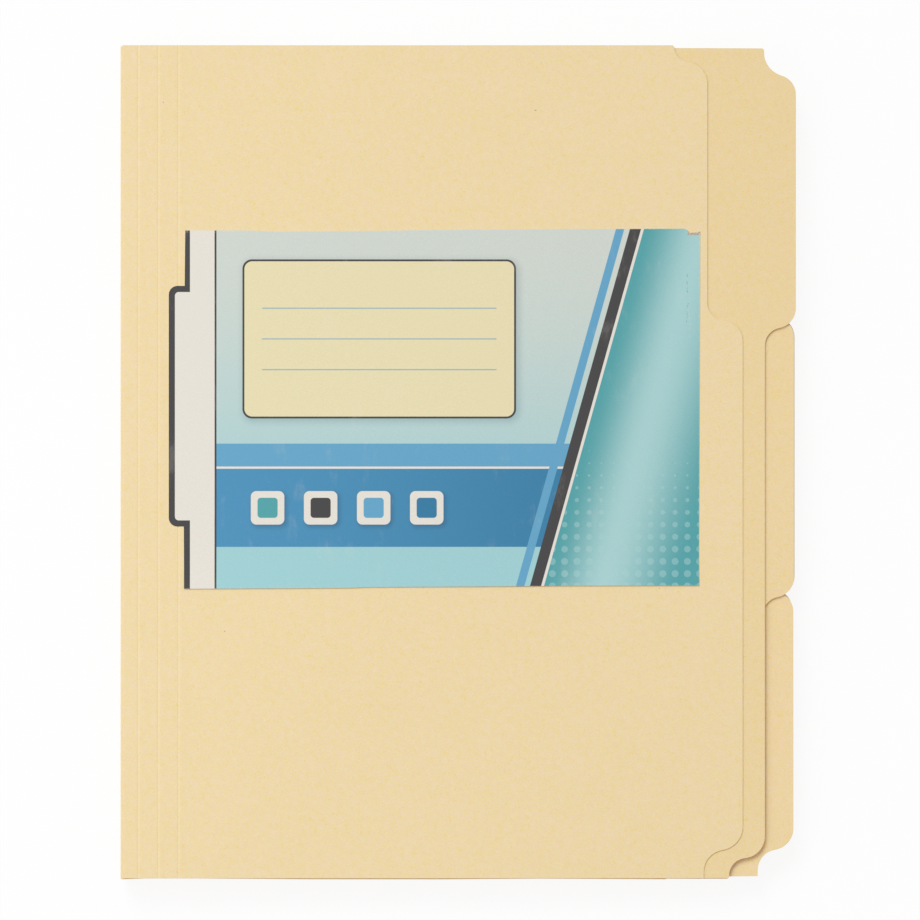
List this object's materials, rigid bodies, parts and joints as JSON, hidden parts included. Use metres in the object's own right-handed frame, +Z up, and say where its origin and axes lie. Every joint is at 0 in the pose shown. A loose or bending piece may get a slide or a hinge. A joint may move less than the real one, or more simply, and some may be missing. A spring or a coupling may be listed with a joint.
{
  "type": "pack of manila folders",
  "caption": "Flat pack of buff card file folders with staggered third-cut tabs, each folder hinging open at its folded spine, under a plain paper label.",
  "frame": {"origin": "centre of the pack's footprint, on the surface that it lies on", "axes": "+X from the folded spines to the tabs, +Y along the spines towards the top folder's tab, +Z up out of the pack's label side"},
  "size_m": [0.2422, 0.299, 0.0119],
  "materials": {
    "manila_card": "matte uncoated card",
    "label_paper": "satin printed paper"
  },
  "bodies": {
    "back_01": {"back_leaf_01": "manila_card", "spine_fold_01": "manila_card"},
    "front_01": {"front_leaf_01": "manila_card", "pack_label": "label_paper"},
    "back_02": {"back_leaf_02": "manila_card", "spine_fold_02": "manila_card"},
    "front_02": {"front_leaf_02": "manila_card"},
    "back_03": {"back_leaf_03": "manila_card", "spine_fold_03": "manila_card"},
    "front_03": {"front_leaf_03": "manila_card"},
    "back_04": {"back_leaf_04": "manila_card", "spine_fold_04": "manila_card"},
    "front_04": {"front_leaf_04": "manila_card"},
    "back_05": {"back_leaf_05": "manila_card", "spine_fold_05": "manila_card"},
    "front_05": {"front_leaf_05": "manila_card"},
    "back_06": {"back_leaf_06": "manila_card", "spine_fold_06": "manila_card"},
    "front_06": {"front_leaf_06": "manila_card"},
    "back_07": {"back_leaf_07": "manila_card", "spine_fold_07": "manila_card"},
    "front_07": {"front_leaf_07": "manila_card"},
    "back_08": {"back_leaf_08": "manila_card", "spine_fold_08": "manila_card"},
    "front_08": {"front_leaf_08": "manila_card"},
    "back_09": {"back_leaf_09": "manila_card", "spine_fold_09": "manila_card"},
    "front_09": {"front_leaf_09": "manila_card"},
    "back_10": {"back_leaf_10": "manila_card", "spine_fold_10": "manila_card"},
    "front_10": {"front_leaf_10": "manila_card"},
    "back_11": {"back_leaf_11": "manila_card", "spine_fold_11": "manila_card"},
    "front_11": {"front_leaf_11": "manila_card"},
    "back_12": {"back_leaf_12": "manila_card", "spine_fold_12": "manila_card"},
    "front_12": {"front_leaf_12": "manila_card"}
  },
  "joints": [
    {"name": "fold_12", "type": "hinge", "parent": "back_12", "child": "front_12", "pos_m": [-0.12046, 0.00024, 0.0004], "axis": [0, -1, 0], "range_deg": [0, 10], "deforming": ["spine_fold_12"]},
    {"name": "lift_11", "type": "slide", "parent": "front_12", "child": "back_11", "axis": [0, 0, 1], "range_m": [0, 0.045]},
    {"name": "fold_11", "type": "hinge", "parent": "back_11", "child": "front_11", "pos_m": [-0.11981, -0.00007, 0.0014], "axis": [0, -1, 0], "range_deg": [0, 10], "deforming": ["spine_fold_11"]},
    {"name": "lift_10", "type": "slide", "parent": "front_11", "child": "back_10", "axis": [0, 0, 1], "range_m": [0, 0.045]},
    {"name": "fold_10", "type": "hinge", "parent": "back_10", "child": "front_10", "pos_m": [-0.12033, -0.00023, 0.0024], "axis": [0, -1, 0], "range_deg": [0, 10], "deforming": ["spine_fold_10"]},
    {"name": "lift_09", "type": "slide", "parent": "front_10", "child": "back_09", "axis": [0, 0, 1], "range_m": [0, 0.045]},
    {"name": "fold_09", "type": "hinge", "parent": "back_09", "child": "front_09", "pos_m": [-0.12064, 0.00012, 0.0034], "axis": [0, -1, 0], "range_deg": [0, 10], "deforming": ["spine_fold_09"]},
    {"name": "lift_08", "type": "slide", "parent": "front_09", "child": "back_08", "axis": [0, 0, 1], "range_m": [0, 0.045]},
    {"name": "fold_08", "type": "hinge", "parent": "back_08", "child": "front_08", "pos_m": [-0.11992, 0.00019, 0.0044], "axis": [0, -1, 0], "range_deg": [0, 10], "deforming": ["spine_fold_08"]},
    {"name": "lift_07", "type": "slide", "parent": "front_08", "child": "back_07", "axis": [0, 0, 1], "range_m": [0, 0.045]},
    {"name": "fold_07", "type": "hinge", "parent": "back_07", "child": "front_07", "pos_m": [-0.12007, -0.00018, 0.0054], "axis": [0, -1, 0], "range_deg": [0, 10], "deforming": ["spine_fold_07"]},
    {"name": "lift_06", "type": "slide", "parent": "front_07", "child": "back_06", "axis": [0, 0, 1], "range_m": [0, 0.045]},
    {"name": "fold_06", "type": "hinge", "parent": "back_06", "child": "front_06", "pos_m": [-0.1207, -0.00015, 0.0064], "axis": [0, -1, 0], "range_deg": [0, 10], "deforming": ["spine_fold_06"]},
    {"name": "lift_05", "type": "slide", "parent": "front_06", "child": "back_05", "axis": [0, 0, 1], "range_m": [0, 0.045]},
    {"name": "fold_05", "type": "hinge", "parent": "back_05", "child": "front_05", "pos_m": [-0.12014, 0.00021, 0.0074], "axis": [0, -1, 0], "range_deg": [0, 10], "deforming": ["spine_fold_05"]},
    {"name": "lift_04", "type": "slide", "parent": "front_05", "child": "back_04", "axis": [0, 0, 1], "range_m": [0, 0.045]},
    {"name": "fold_04", "type": "hinge", "parent": "back_04", "child": "front_04", "pos_m": [-0.11987, 0.00009, 0.0084], "axis": [0, -1, 0], "range_deg": [0, 10], "deforming": ["spine_fold_04"]},
    {"name": "lift_03", "type": "slide", "parent": "front_04", "child": "back_03", "axis": [0, 0, 1], "range_m": [0, 0.045]},
    {"name": "fold_03", "type": "hinge", "parent": "back_03", "child": "front_03", "pos_m": [-0.12061, -0.00025, 0.0094], "axis": [0, -1, 0], "range_deg": [0, 10], "deforming": ["spine_fold_03"]},
    {"name": "lift_02", "type": "slide", "parent": "front_03", "child": "back_02", "axis": [0, 0, 1], "range_m": [0, 0.045]},
    {"name": "fold_02", "type": "hinge", "parent": "back_02", "child": "front_02", "pos_m": [-0.1204, -0.00004, 0.0104], "axis": [0, -1, 0], "range_deg": [0, 10], "deforming": ["spine_fold_02"]},
    {"name": "lift_01", "type": "slide", "parent": "front_02", "child": "back_01", "axis": [0, 0, 1], "range_m": [0, 0.045]},
    {"name": "fold_01", "type": "hinge", "parent": "back_01", "child": "front_01", "pos_m": [-0.1198, 0.00025, 0.0114], "axis": [0, -1, 0], "range_deg": [0, 180], "deforming": ["spine_fold_01"]}
  ]
}
